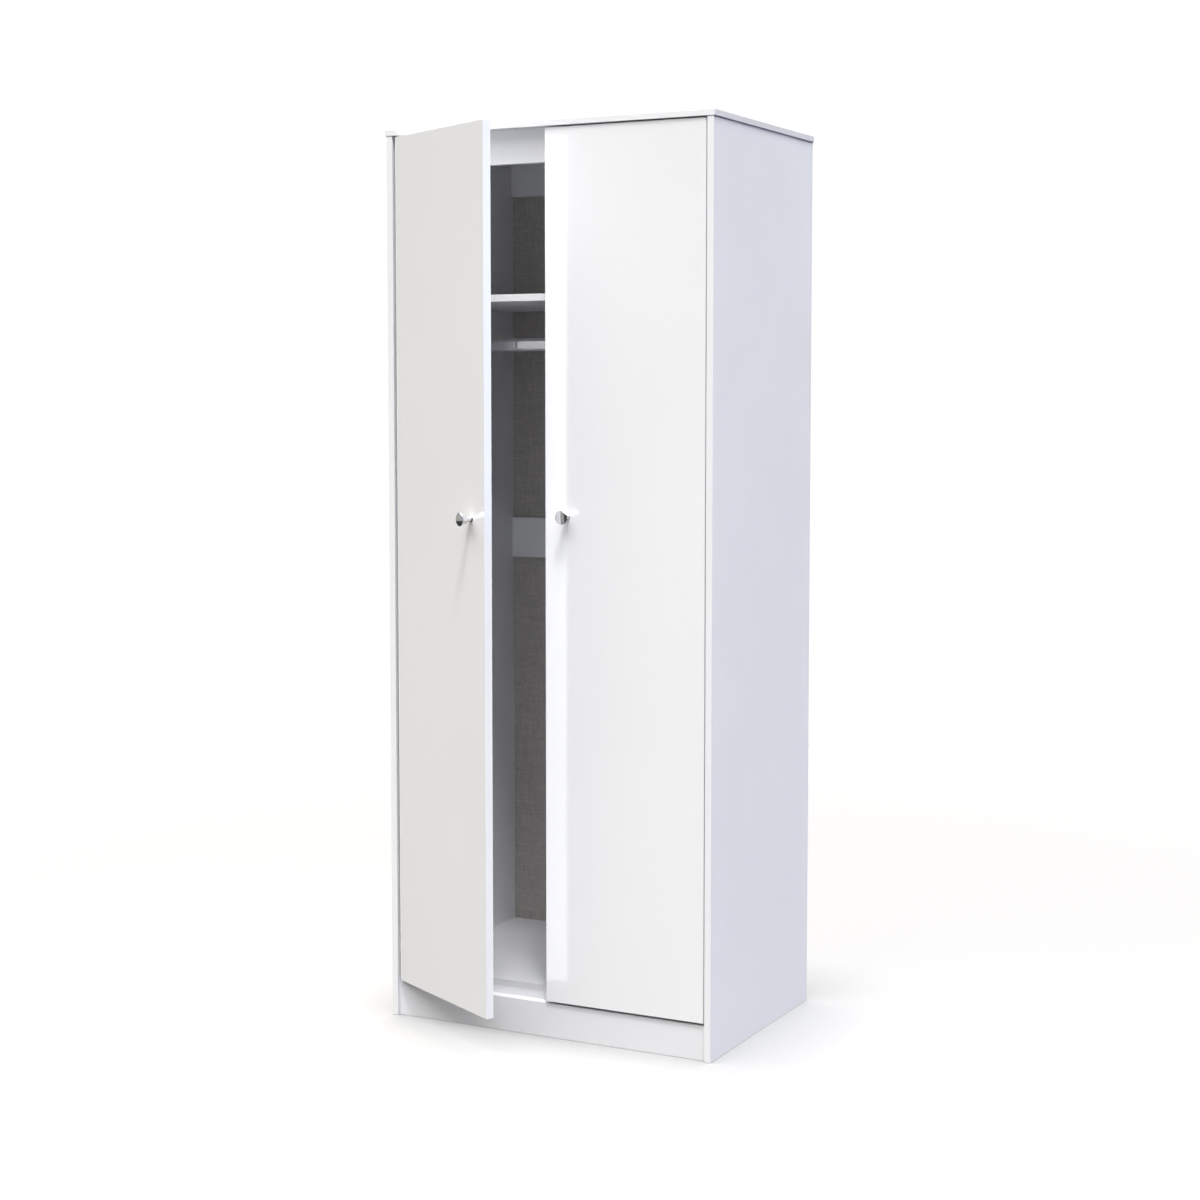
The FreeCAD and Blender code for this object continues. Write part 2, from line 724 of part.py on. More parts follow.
def hinge_links(name, side):
    """Cranked straps. An eye turns on the arm's pin and the far end lies in the cup."""
    body = new_body(name)
    tip = ("tip_from_side", "tip_from_front")
    heel = ("heel_from_side", "heel_from_front")
    crest = ("crest_from_side", "crest_from_front")
    pin = ("pin_from_side", "pin_from_front")
    rounds = [
        (tip, "link_tip_radius"),
        (heel, "link_half_thickness"),
        (crest, "link_half_thickness"),
        (pin, "link_eye_radius"),
    ]
    for z in hinge_heights():
        low = f"({z} - link_height / 2)"
        for start, end in ((tip, heel), (heel, crest), (crest, pin)):
            add(body, "z", 1, low, "link_height",
                corners=plan_points(side, strap_corners(start, end)))
        for point, radius in rounds:
            add(body, "z", 1, low, "link_height", centres=plan_points(side, [point]),
                radius=radius)
        cut(body, "z", 1, low, "link_height", centres=plan_points(side, [pin]),
            radius="(pin_radius + pin_play)")
    if side == LEFT:
        turn(body, f"-1 * {PIN_X}", PIN_Y, number("ajar_angle * link_turn_ratio"))


def hinge_pins(name, side):
    """The pins that the links turn on, held in the arms' cheeks."""
    body = new_body(name)
    for z in hinge_heights():
        add(body, "z", 1, f"({z} - arm_height / 2)", "arm_height",
            centres=[(f"{side} * {PIN_X}", PIN_Y)], radius="pin_radius")


def hinge_arms(name, side):
    """Cranked arms from the mounting plates to the pins, forked to take the links."""
    body = new_body(name)
    heel = "plate_thickness"
    crest = "(plate_thickness + arm_rise)"
    near = "(pin_from_side - arm_nose_radius)"
    far = "(pin_from_side + arm_nose_radius - arm_nose_trim)"
    outline = [
        (heel, "arm_tail_from_front"),
        (heel, "(plate_start_from_front - arm_foot_lead)"),
        ("(arm_rise + arm_crank_rise)", "(arm_web_from_front + arm_crank_depth)"),
        (near, "arm_web_from_front"),
        (far, "arm_web_from_front"),
        (far, "(arm_web_from_front + arm_web_thickness)"),
        ("(pin_from_side - arm_neck_from_pin)", "(arm_web_from_front + arm_neck_depth)"),
        (crest, "(arm_web_from_front + arm_shoulder_depth)"),
        (crest, "arm_tail_from_front"),
    ]
    cheek = rectangle(near, far, "pin_from_front", "(arm_web_from_front + arm_cheek_lap)")
    slot = rectangle("(pin_from_side - arm_slot_tail)", "(pin_from_side + arm_slot_nose)",
                     "(pin_from_front - arm_slot_nose)", "arm_web_from_front")
    pin = [(f"{side} * {PIN_X}", PIN_Y)]
    for z in hinge_heights():
        low = f"({z} - arm_height / 2)"
        add(body, "z", 1, low, "arm_height", corners=plan_points(side, outline))
        add(body, "z", 1, low, "arm_height", corners=plan_points(side, cheek))
        add(body, "z", 1, low, "arm_height", centres=pin, radius="arm_nose_radius")
        cut(body, "z", 1, f"({z} - arm_slot_height / 2)", "arm_slot_height",
            corners=plan_points(side, slot))
        cut(body, "z", 1, low, "arm_height", centres=pin, radius="pin_radius")
    cut(body, "x", side, f"{side} * ({INNER} - plate_thickness - arm_rise)", "arm_rise",
        centres=arm_screw_places(), radius="arm_screw_slot / 2")


def arm_screw_places():
    return [(f"({FRONT} + arm_screw_from_front)", z) for z in hinge_heights()]


def mounting_plates(name, side):
    """Winged plates on the side's inner face, two screws each."""
    body = new_body(name)
    face = f"{side} * {INNER}"
    y0 = f"({FRONT} + plate_start_from_front)"
    y1 = f"({FRONT} + plate_end_from_front)"
    for z in hinge_heights():
        outline = rectangle(y0, y1, f"({z} - plate_height / 2)", f"({z} + plate_height / 2)")
        add(body, "x", -side, face, "plate_thickness", corners=outline)
    cut(body, "x", -side, face, "plate_thickness",
        centres=plate_screw_places(), radius="euro_screw_hole / 2")
    cut(body, "x", -side, face, "plate_thickness",
        centres=arm_screw_places(), radius="arm_screw_hole / 2")


def plate_screw_places():
    """Two screws for each mounting plate, above and below the arm."""
    return [(f"({FRONT} + plate_screw_from_front)", f"({z} + {sense} * plate_screw_spacing / 2)")
            for z in hinge_heights() for sense in (-1, 1)]


def mounting_plate_screws(name, side):
    body = new_body(name)
    seat = f"{side} * ({INNER} - plate_thickness)"
    add(body, "x", side, seat, "plate_thickness + euro_screw_bite",
        centres=plate_screw_places(), radius="euro_screw_body / 2")
    add(body, "x", -side, seat, "screw_head_height",
        centres=plate_screw_places(), radius="euro_screw_head / 2")


def hinge_arm_screws(name, side):
    body = new_body(name)
    seat = f"{side} * ({INNER} - plate_thickness - arm_rise)"
    add(body, "x", side, seat, "arm_rise + plate_thickness - arm_screw_end_gap",
        centres=arm_screw_places(), radius="arm_screw_body / 2")
    add(body, "x", -side, seat, "arm_screw_head_height",
        centres=arm_screw_places(), radius="arm_screw_head / 2")


def knob_profile():
    """Half outline of the knob up to its face: radius against distance out from the door."""
    return [
        ("0", "0"),
        ("knob_seat_radius", "0"),
        ("(knob_seat_radius - knob_seat_taper)", "knob_seat_height"),
        ("knob_neck_radius", "knob_neck_start"),
        ("(knob_neck_radius + knob_neck_swell)", "knob_neck_end"),
        ("(knob_face_radius - knob_rim_round)", "(knob_reach - knob_flare_end)"),
        ("knob_face_radius", "(knob_reach - knob_rim_width)"),
        ("knob_face_radius", "(knob_reach - knob_crown - knob_rim_round)"),
        ("(knob_face_radius - knob_rim_round)", "(knob_reach - knob_crown)"),
        ("0", "knob_reach"),
    ]


def knob_outline(sketch):
    """The knob's half outline, closed by a shallow arc for its crowned face."""
    corners = [(r, f"-1 * ({reach})") for r, reach in knob_profile()]
    points = [FreeCAD.Vector(number(u), number(v), 0) for u, v in corners]
    count = len(points)
    half = "(knob_face_radius - knob_rim_round)"
    sweep = f"(({half} * {half} + knob_crown * knob_crown) / (2 * knob_crown))"
    radius = number(sweep)
    circle = Part.Circle(points[-1] + FreeCAD.Vector(0, radius, 0), FreeCAD.Vector(0, 0, 1), radius)
    spread = math.asin(number(half) / radius)
    for i in range(count - 2):
        sketch.addGeometry(Part.LineSegment(points[i], points[i + 1]), False)
    sketch.addGeometry(Part.LineSegment(points[-1], points[0]), False)
    face = sketch.addGeometry(Part.ArcOfCircle(circle, -math.pi / 2, spread - math.pi / 2), False)
    back_line = face - 1
    for i in range(count - 3):
        sketch.addConstraint(Sketcher.Constraint("Coincident", i, 2, i + 1, 1))
    sketch.addConstraint(Sketcher.Constraint("Coincident", back_line - 1, 2, face, 2))
    sketch.addConstraint(Sketcher.Constraint("Coincident", face, 1, back_line, 1))
    sketch.addConstraint(Sketcher.Constraint("Coincident", back_line, 2, 0, 1))
    for i, corner in enumerate(corners[:-2]):
        pin_point(sketch, i, 1, corner)
    pin_point(sketch, back_line - 1, 2, corners[-2])
    pin_point(sketch, back_line, 1, corners[-1])
    index = sketch.addConstraint(Sketcher.Constraint("Radius", face, radius))
    sketch.setExpression(f"Constraints[{index}]", bound(sweep))


def knob(name, side):
    """A turned knob that flares from a slim neck to a round, slightly crowned face."""
    body = new_body(name)
    sketch = add_sketch(body, "z", "0")
    knob_outline(sketch)
    turned = body.newObject("PartDesign::Revolution", "turned")
    turned.Profile = sketch
    turned.ReferenceAxis = (sketch, ["V_Axis"])
    turned.Angle = 360
    doc.recompute()
    cut(body, "y", -1, "0", "knob_bore_depth", centres=[("0", "0")], radius="knob_bore / 2")
    place_on_door(body, side)


def place_on_door(body, side):
    """Set a piece drawn about its own origin on the door's face at the knob's place."""
    shut_to_rest(body, side)
    spot = FreeCAD.Vector(number(f"{side} * knob_from_middle"), number(DOOR_FACE),
                          number("knob_height"))
    body.Placement = body.Placement.multiply(FreeCAD.Placement(spot, FreeCAD.Rotation()))


def knob_screw(name, side):
    body = new_body(name)
    add(body, "y", -1, "door_board", "door_board + knob_bore_depth - knob_screw_end_gap",
        centres=[("0", "0")], radius="knob_screw_body / 2")
    add(body, "y", 1, "door_board", "knob_screw_head_height",
        centres=[("0", "0")], radius="knob_screw_head / 2")
    place_on_door(body, side)


def cam_housings():
    """The round cam locks of every board joint."""
    body = new_body("cam_housings")
    rows, _ = board_end_rows()
    top_cams, _ = top_rows()
    for side in SIDES.values():
        x = f"{side} * ({INNER} - cam_from_end)"
        for z_low, _ in level_boards():
            add(body, "z", 1, z_low, "cam_depth", centres=[(x, y) for y in rows],
                radius="cam_radius")
        add(body, "x", side, f"{side} * {INNER}", "cam_depth",
            centres=[(y, "(body_height - cam_from_end)") for y in top_cams], radius="cam_radius")
        for rail in upright_rails().values():
            if rail.cam_face:
                face, sense = rail_cam_side(rail)
                add(body, "y", sense, face, "cam_depth", centres=[(x, rail_cam_height(rail))],
                    radius="cam_radius")


def cam_bolts():
    """The bolts that the cams draw on."""
    body = new_body("cam_bolts")
    top_cams, _ = top_rows()
    shank = "(cam_from_end - cam_hole_radius - cam_bolt_gap)"
    for side in SIDES.values():
        add(body, "x", -side, f"{side} * ({INNER} + dowel_in_side)", f"dowel_in_side + {shank}",
            centres=side_bolts(), radius="cam_bolt_body / 2")
        add(body, "z", -1, "body_height + fitting_in_top", f"fitting_in_top + {shank}",
            centres=[(f"{side} * {SIDE_MIDDLE}", y) for y in top_cams], radius="cam_bolt_body / 2")


def dowels():
    """The wooden dowels of every board joint."""
    body = new_body("dowels")
    _, rows = top_rows()
    for side in SIDES.values():
        add(body, "x", -side, f"{side} * ({INNER} + dowel_in_side)",
            "dowel_in_side + dowel_in_board", centres=side_dowels(), radius="dowel_body / 2")
        add(body, "z", -1, "body_height + fitting_in_top", "fitting_in_top + dowel_in_board",
            centres=[(f"{side} * {SIDE_MIDDLE}", y) for y in rows], radius="dowel_body / 2")


def plinth_screws():
    body = new_body("plinth_screws")
    seat = f"({BASE_RAIL_FACE} + base_rail_board)"
    add(body, "y", -1, seat, "base_rail_board + plinth_screw_bite",
        centres=plinth_screw_places(), radius="small_screw_body / 2")
    add(body, "y", 1, seat, "screw_head_height",
        centres=plinth_screw_places(), radius="small_screw_head / 2")


def carcass():
    top_panel()
    cams_floor, cams_shelf = level_boards()
    level_board("floor_panel", BASE_RAIL_FACE, cams_floor[0], "floor_top", cams_floor[1])
    level_board("shelf", f"({FRONT} + shelf_setback)", cams_shelf[0],
                "(shelf_bottom + shelf_board)", cams_shelf[1])
    for name, rail in upright_rails().items():
        upright_rail(name, rail)
    plinth_board()
    back_panels()
    back_panel_nails()
    hanging_rail()
    rail_socket_screws()
    cam_housings()
    cam_bolts()
    dowels()
    plinth_screws()


SIDED = {
    "side_panel": side_panel,
    "rail_socket": rail_socket,
    "door": door,
    "knob": knob,
    "knob_screw": knob_screw,
    "hinge_cups": hinge_cups,
    "hinge_cup_screws": hinge_cup_screws,
    "hinge_links": hinge_links,
    "hinge_pins": hinge_pins,
    "hinge_arms": hinge_arms,
    "hinge_arm_screws": hinge_arm_screws,
    "mounting_plates": mounting_plates,
    "mounting_plate_screws": mounting_plate_screws,
}


def main():
    carcass()
    for noun, make in SIDED.items():
        for word, side in SIDES.items():
            make(f"{word}_{noun}", side)
    doc.recompute()
    for item in doc.Objects:
        if "Invalid" in item.State or "Error" in item.State:
            raise ValueError(f"{item.Label} did not compute: {item.State}")
    os.makedirs("parts", exist_ok=True)
    for body in kept:
        shape = body.Shape
        if shape.isNull() or not shape.isValid():
            raise ValueError(f"{body.Label} has no valid shape")
        shape.exportStep(f"parts/{body.Label}.step")
        print(body.Label, len(shape.Solids), round(shape.Volume / 1000, 2))


main()
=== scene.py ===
"""Looks of a two-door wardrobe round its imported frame: finishes, soft arrises, floor, light and camera."""

import json
import math

import bpy
from mathutils import Euler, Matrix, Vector


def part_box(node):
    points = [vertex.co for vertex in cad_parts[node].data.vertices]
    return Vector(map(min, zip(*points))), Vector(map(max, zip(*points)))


# The view: the camera stands in front and to the right, about two thirds of the wardrobe's height up, and
# looks down a little.
CAMERA_PLACE = (2.2268, -4.0573, 1.3918)
CAMERA_YAW = 27.391
CAMERA_PITCH = -4.299
CAMERA_LENS = 64.935
CAMERA_SHIFT = -0.035
CAMERA_SENSOR = 36.0
CAMERA_NEAREST = 0.05

# The finishes, in metres and linear colour.
BOARD_WHITE = (0.8, 0.805, 0.82)
BOARD_CLOUD = (0.775, 0.78, 0.797)
BOARD_BAND = (0.7, 0.7, 0.71)
GLOSS_WHITE = (0.88, 0.88, 0.885)
GLOSS_CLOUD = (0.865, 0.865, 0.87)
GLOSS_BAND = (0.86, 0.86, 0.875)
SEAM_GREY = (0.52, 0.52, 0.53)
SEAM_SHARE = 0.55
BAND_DEPTH = 0.0008
SEAM_HALF_WIDTH = 0.00012
LINEN_DARK = (0.3, 0.28, 0.265)
LINEN_LIGHT = (0.53, 0.505, 0.485)
CHROME_DARK = (0.74, 0.74, 0.76)
CHROME_LIGHT = (0.84, 0.84, 0.86)
NICKEL_DARK = (0.5, 0.49, 0.48)
NICKEL_LIGHT = (0.68, 0.67, 0.65)
ZINC_DARK = (0.5, 0.51, 0.54)
ZINC_LIGHT = (0.7, 0.71, 0.74)
CASTING_DARK = (0.4, 0.4, 0.41)
CASTING_LIGHT = (0.56, 0.56, 0.57)
BEECH_DARK = (0.42, 0.26, 0.13)
BEECH_LIGHT = (0.62, 0.43, 0.25)
BEECH_PORE = (0.3, 0.17, 0.08)

# The softened arrises of the boards and doors.
ARRIS_WIDTH = 0.0005
ARRIS_SEGMENTS = 2
ARRIS_ANGLE = 50
WELD_REACH = 0.00001

# The light: soft lobes of sky (direction, strength, colour) and suns (name, azimuth, elevation, strength,
# spread, colour). The fill lights only the left door, from behind, and the floor has a sun of its own.
SKY_LOBES = (
    ((-1, 0, 0), 0.4, (1.2, 1.0, 0.72)),
    ((0, -1, 0), 0.33, (0.97, 1.0, 1.05)),
    ((1, 0, 0), 0.08, (0.1, 0.2, 1.0)),
)
SUNS = (
    ("overhead", 25, 88, 9.9, 100, (1.0, 1.0, 1.0)),
    ("key", 34, 69, 2.9, 10, (1.0, 1.0, 1.0)),
    ("right", 98, 8, 0.18, 25, (0.2, 0.3, 1.0)),
)
INNER_FILL = ("left_door_fill", 140, 0, 1.15, 20, (1.0, 1.0, 1.0))
FLOOR_SUN = ("floor_sun", 0, 90, 3.05, 10, (1.0, 1.0, 1.0))
# Flags shade the pieces behind the opening: the share of each sun that they get.
FLAGGED = {
    "back_middle_rail": 0.5,
    "back_top_rail": 0.5,
    "base_front_rail": 0.5,
    "floor_panel": 0.45,
    "front_top_rail": 0.5,
    "lower_back_panel": 0.5,
    "upper_back_panel": 0.5,
    "plinth_board": 0.8,
}
# Cards that only the knobs reflect: name, azimuth, elevation, width, height, brightness, colour.
KNOB_CARDS = (
    ("left_card", -39, 0, 0.62, 2.4, 0.55, (0.93, 0.93, 1.0)),
    ("bright_card", -31, 0, 0.21, 2.4, 0.95, (0.98, 0.98, 1.0)),
    ("right_card", -25, 0, 0.4, 2.4, 0.33, (1.0, 1.0, 0.96)),
    ("side_card", -89, 4, 1.6, 0.9, 0.4, (1.0, 0.97, 0.9)),
    ("front_card", 8, 0, 2.2, 2.4, 0.4, (1.0, 1.0, 1.0)),
)
CARD_DISTANCE = 3.0
ROOM_COLOUR = (0.5, 0.5, 0.52)
ROOM_STRENGTH = 0.1
BACKDROP_STRENGTH = 1.05

# The floor: a disc with painted shade that darkens it near the wardrobe, and that fades out between two
# distances from its middle.
FLOOR_RADIUS = 9.0
FLOOR_SIDES = 96
FLOOR_MIDDLE = (0, 0.25, -0.0005)
FLOOR_FADE_FROM = 2.2
FLOOR_FADE_TO = 4.5
FLOOR_GREY = 0.9
# The painted shade near the wardrobe: the floor's grey where they meet, and how far the shade reaches.
FLOOR_PAINTED_SHADE_GREY = 0.15
FLOOR_PAINTED_SHADE_REACH = 0.35

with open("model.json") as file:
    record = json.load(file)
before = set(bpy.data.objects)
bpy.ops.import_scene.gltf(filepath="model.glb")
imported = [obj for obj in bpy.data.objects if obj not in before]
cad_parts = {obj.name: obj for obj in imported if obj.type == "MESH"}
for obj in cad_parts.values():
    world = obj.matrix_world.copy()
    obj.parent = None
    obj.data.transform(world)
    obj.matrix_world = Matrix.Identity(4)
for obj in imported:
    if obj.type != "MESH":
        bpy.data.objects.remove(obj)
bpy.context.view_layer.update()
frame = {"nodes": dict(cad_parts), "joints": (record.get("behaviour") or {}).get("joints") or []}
scene = bpy.context.scene
nodes = frame["nodes"]


def joint(name):
    return next(j for j in frame["joints"] if j["name"] == name)


LEFT_SWING = joint("left_door_swing")
LEFT_SHUT_TURN = math.radians(-LEFT_SWING["range_deg"][0])


class Look:
    """One node material: a Principled shader and the helpers that feed it."""

    def __init__(self, name):
        self.material = bpy.data.materials.new(name)
        self.material.use_nodes = True
        self.tree = self.material.node_tree
        self.shader = self.tree.nodes["Principled BSDF"]
        self.place = self.add("ShaderNodeTexCoord").outputs["Object"]

    def add(self, kind, **settings):
        node = self.tree.nodes.new(kind)
        for key, value in settings.items():
            setattr(node, key, value)
        return node

    def plug(self, socket, value):
        """Feeds a socket from another socket, or sets it."""
        if isinstance(value, bpy.types.NodeSocket):
            self.tree.links.new(value, socket)
        else:
            socket.default_value = value

    def set(self, **values):
        """Sets or feeds the shader's sockets; a name's underscores stand for spaces."""
        for key, value in values.items():
            self.plug(self.shader.inputs[key.replace("_", " ")], value)

    def mapped(self, scale=(1, 1, 1), turn=0.0, shift=(0, 0, 0)):
        node = self.add("ShaderNodeMapping")
        self.plug(node.inputs["Vector"], self.place)
        node.inputs["Scale"].default_value = scale
        node.inputs["Rotation"].default_value = (0, 0, turn)
        node.inputs["Location"].default_value = shift
        return node.outputs["Vector"]

    def noise(self, scale, stretch=(1, 1, 1), detail=2.0, rough=0.5, warp=0.0):
        node = self.add("ShaderNodeTexNoise")
        self.plug(node.inputs["Vector"], self.mapped(stretch))
        node.inputs["Scale"].default_value = scale
        node.inputs["Detail"].default_value = detail
        node.inputs["Roughness"].default_value = rough
        node.inputs["Distortion"].default_value = warp
        return node.outputs["Fac"]

    def maths(self, operation, first, second=0.0):
        node = self.add("ShaderNodeMath", operation=operation)
        self.plug(node.inputs[0], first)
        self.plug(node.inputs[1], second)
        return node.outputs[0]

    def span(self, value, low, high, to_low=0.0, to_high=1.0):
        """Maps low to high onto to_low to to_high, and holds the ends."""
        node = self.add("ShaderNodeMapRange", clamp=True)
        self.plug(node.inputs["Value"], value)
        node.inputs["From Min"].default_value = low
        node.inputs["From Max"].default_value = high
        node.inputs["To Min"].default_value = to_low
        node.inputs["To Max"].default_value = to_high
        return node.outputs["Result"]

    def blend(self, share, first, second):
        """Mixes two colours, from the first at share 0 to the second at share 1."""
        node = self.add("ShaderNodeMix", data_type="RGBA")
        self.plug(node.inputs["Factor"], share)
        # The node has a pair of inputs for each kind of data; 6 and 7 are the colours, and so is output 2.
        for socket, value in ((node.inputs[6], first), (node.inputs[7], second)):
            self.plug(socket, value if isinstance(value, bpy.types.NodeSocket) else (*value, 1.0))
        return node.outputs[2]

    def bump(self, height, strength, depth, under=None):
        node = self.add("ShaderNodeBump")
        node.inputs["Strength"].default_value = strength
        node.inputs["Distance"].default_value = depth
        self.plug(node.inputs["Height"], height)
        if under is not None:
            self.plug(node.inputs["Normal"], under)
        return node.outputs["Normal"]

    def edge_gap(self, low, high, axes, place):
        """Distance from the nearest outer edge of a board whose box is low to high."""
        split = self.add("ShaderNodeSeparateXYZ")
        self.plug(split.inputs[0], place)
        gaps = []
        for axis in axes:
            for limit in (low[axis], high[axis]):
                offset = self.maths("SUBTRACT", split.outputs[axis], limit)
                gaps.append(self.maths("ABSOLUTE", offset))
        nearest = gaps[0]
        for gap in gaps[1:]:
            nearest = self.maths("MINIMUM", nearest, gap)
        return nearest


def in_plane_axes(low, high):
    """The two axes along a board's face, without its thickness."""
    sizes = [high[i] - low[i] for i in range(3)]
    thin = sizes.index(min(sizes))
    return [i for i in range(3) if i != thin]


def banded_colour(look, low, high, place, face, edging):
    """The board's face colour, with its glued edge band and the fine glue line beside it."""
    gap = look.edge_gap(low, high, in_plane_axes(low, high), place)
    band = look.span(gap, BAND_DEPTH, BAND_DEPTH + SEAM_HALF_WIDTH, 1.0, 0.0)
    off_seam = look.maths("ABSOLUTE", look.maths("SUBTRACT", gap, BAND_DEPTH))
    seam = look.span(off_seam, SEAM_HALF_WIDTH, 2 * SEAM_HALF_WIDTH, SEAM_SHARE, 0.0)
    colour = look.blend(band, face, edging)
    return look.blend(seam, colour, SEAM_GREY), seam


def white_board(name, low, high):
    """Satin melamine: faint clouding, fine pearl grain, wiped streaks and banded edges."""
    look = Look(name)
    cloud = look.noise(3.5, detail=3.0)
    speck = look.noise(900.0, detail=1.0)
    face = look.blend(look.span(cloud, 0.35, 0.65), BOARD_CLOUD, BOARD_WHITE)
    face = look.blend(look.span(speck, 0.3, 0.7, 0.0, 0.05), face, SEAM_GREY)
    colour, seam = banded_colour(look, low, high, look.place, face, BOARD_BAND)
    wiped = look.noise(6.0, stretch=(1, 1, 0.35), detail=4.0, warp=0.4)
    grain = look.noise(1400.0, detail=2.0, rough=0.6)
    hide = look.bump(grain, 0.12, 0.0002)
    look.set(
        Base_Color=colour,
        Roughness=look.span(wiped, 0.3, 0.7, 0.4, 0.54),
        Normal=look.bump(seam, 0.3, 0.0001, hide),
        IOR=1.48,
    )
    return look.material


def white_gloss(name, low, high, turn=0.0, about=(0.0, 0.0, 0.0)):
    """High-gloss foil: a clear coat with slight waviness over a clean white, and banded edges.

    The box low to high is the shut door's. Turn and about carry the places on an open door back to it.
    """
    look = Look(name)
    pivot = Vector(about)
    shift = pivot - Euler((0, 0, turn)).to_matrix() @ pivot
    shut = look.mapped(turn=turn, shift=shift)
    cloud = look.noise(2.2, detail=2.0)
    face = look.blend(look.span(cloud, 0.35, 0.65), GLOSS_CLOUD, GLOSS_WHITE)
    colour, seam = banded_colour(look, low, high, shut, face, GLOSS_BAND)
    wave = look.noise(45.0, detail=2.0)
    peel = look.noise(420.0, detail=1.0)
    waves = look.bump(wave, 0.08, 0.0012)
    skin = look.bump(peel, 0.05, 0.0002, waves)
    handled = look.noise(9.0, detail=5.0, rough=0.65, warp=0.6)
    look.set(
        Base_Color=colour,
        Roughness=look.span(handled, 0.35, 0.75, 0.15, 0.2),
        Normal=look.bump(seam, 0.3, 0.0001, skin),
        IOR=1.7,
        Coat_Weight=1.0,
        Coat_Roughness=0.07,
        Coat_IOR=2.3,
    )
    look.plug(look.shader.inputs["Coat Normal"], skin)
    return look.material


def back_linen(name):
    """Printed linen look: crossed threads of uneven tone with slubs, and a slight emboss."""
    look = Look(name)
    across = look.noise(1.0, stretch=(90, 90, 760), detail=2.0, rough=0.7)
    upright = look.noise(1.0, stretch=(760, 760, 90), detail=2.0, rough=0.7)
    slub_across = look.noise(1.0, stretch=(16, 16, 330), detail=2.0)
    slub_upright = look.noise(1.0, stretch=(330, 330, 16), detail=2.0)
    threads = look.maths("MULTIPLY", look.maths("ADD", across, upright), 0.5)
    slubs = look.maths("MULTIPLY", look.maths("ADD", slub_across, slub_upright), 0.5)
    weave = look.maths("ADD", look.maths("MULTIPLY", threads, 0.6), look.maths("MULTIPLY", slubs, 0.4))
    colour = look.blend(look.span(weave, 0.36, 0.64), LINEN_DARK, LINEN_LIGHT)
    look.set(
        Base_Color=colour,
        Roughness=look.span(threads, 0.35, 0.65, 0.62, 0.5),
        Normal=look.bump(weave, 0.3, 0.0003),
        IOR=1.45,
    )
    return look.material


def chrome(name):
    """Polished chrome with fine wiping marks."""
    look = Look(name)
    haze = look.noise(60.0, detail=4.0, warp=0.3)
    marks = look.noise(1.0, stretch=(900, 900, 120), detail=1.0)
    look.set(
        Base_Color=look.blend(look.span(haze, 0.3, 0.7), CHROME_DARK, CHROME_LIGHT),
        Metallic=1.0,
        Roughness=look.span(haze, 0.3, 0.7, 0.04, 0.1),
        Normal=look.bump(marks, 0.02, 0.0001),
    )
    return look.material


def plated(name, dark, light, rough_low, rough_high, line=(900, 120, 900)):
    """Plated metal: drawn lines, uneven plating and dulled patches."""
    look = Look(name)
    drawn = look.noise(1.0, stretch=line, detail=3.0, rough=0.6)
    patch = look.noise(140.0, detail=3.0)
    tone = look.maths("ADD", look.maths("MULTIPLY", drawn, 0.5), look.maths("MULTIPLY", patch, 0.5))
    look.set(
        Base_Color=look.blend(look.span(tone, 0.35, 0.65), dark, light),
        Metallic=1.0,
        Roughness=look.span(tone, 0.35, 0.65, rough_high, rough_low),
        Normal=look.bump(drawn, 0.08, 0.0001),
    )
    return look.material


def beech(name):
    """Turned beech: fine pores along the peg and soft growth bands."""
    look = Look(name)
    rings = look.noise(1.0, stretch=(160, 700, 700), detail=3.0, warp=0.5)
    pores = look.noise(1.0, stretch=(500, 2600, 2600), detail=1.0)
    wood = look.blend(look.span(rings, 0.35, 0.65), BEECH_DARK, BEECH_LIGHT)
    look.set(
        Base_Color=look.blend(look.span(pores, 0.6, 0.75, 0.0, 0.5), wood, BEECH_PORE),
        Roughness=look.span(rings, 0.3, 0.7, 0.55, 0.7),
        Normal=look.bump(pores, 0.2, 0.0001),
    )
    return look.material


def shared_looks():
    """The finishes that don't depend on a board's own size."""
    return {
        "back_linen": back_linen("linen_print"),
        "chrome": chrome("chrome_polish"),
        "nickel_steel": plated("nickel_plate", NICKEL_DARK, NICKEL_LIGHT, 0.2, 0.34),
        "zinc_screw": plated("zinc_plate", ZINC_DARK, ZINC_LIGHT, 0.24, 0.4),
        "zinc_cast": plated("zinc_casting", CASTING_DARK, CASTING_LIGHT, 0.42, 0.58, line=(500, 500, 500)),
        "beech_dowel": beech("beech_peg"),
    }


def finish_nodes():
    """Gives every CAD node its finish, and softens the arrises of the boards and doors."""
    shared = shared_looks()
    for name, node in nodes.items():
        slot = node.data.materials[0].name
        low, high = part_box(name)
        if slot == "white_board":
            look = white_board(name + "_melamine", low, high)
        elif name == "left_door":
            # Its shut box is the mirror image of the right door's.
            twin_low, twin_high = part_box("right_door")
            low = Vector((-twin_high.x, twin_low.y, twin_low.z))
            high = Vector((-twin_low.x, twin_high.y, twin_high.z))
            look = white_gloss(name + "_foil", low, high, LEFT_SHUT_TURN, LEFT_SWING["pos_m"])
        elif name == "right_door":
            look = white_gloss(name + "_foil", low, high)
        else:
            look = shared[slot]
        node.data.materials.clear()
        node.data.materials.append(look)
        if slot in ("white_board", "white_gloss"):
            soften(node)


def soften(node):
    """Rounds a board's sharp edges a little, so that they catch the light."""
    weld = node.modifiers.new("join_seams", "WELD")
    weld.merge_threshold = WELD_REACH
    bevel = node.modifiers.new("soft_arris", "BEVEL")
    bevel.width = ARRIS_WIDTH
    bevel.segments = ARRIS_SEGMENTS
    bevel.limit_method = "ANGLE"
    bevel.angle_limit = math.radians(ARRIS_ANGLE)
    bevel.harden_normals = True


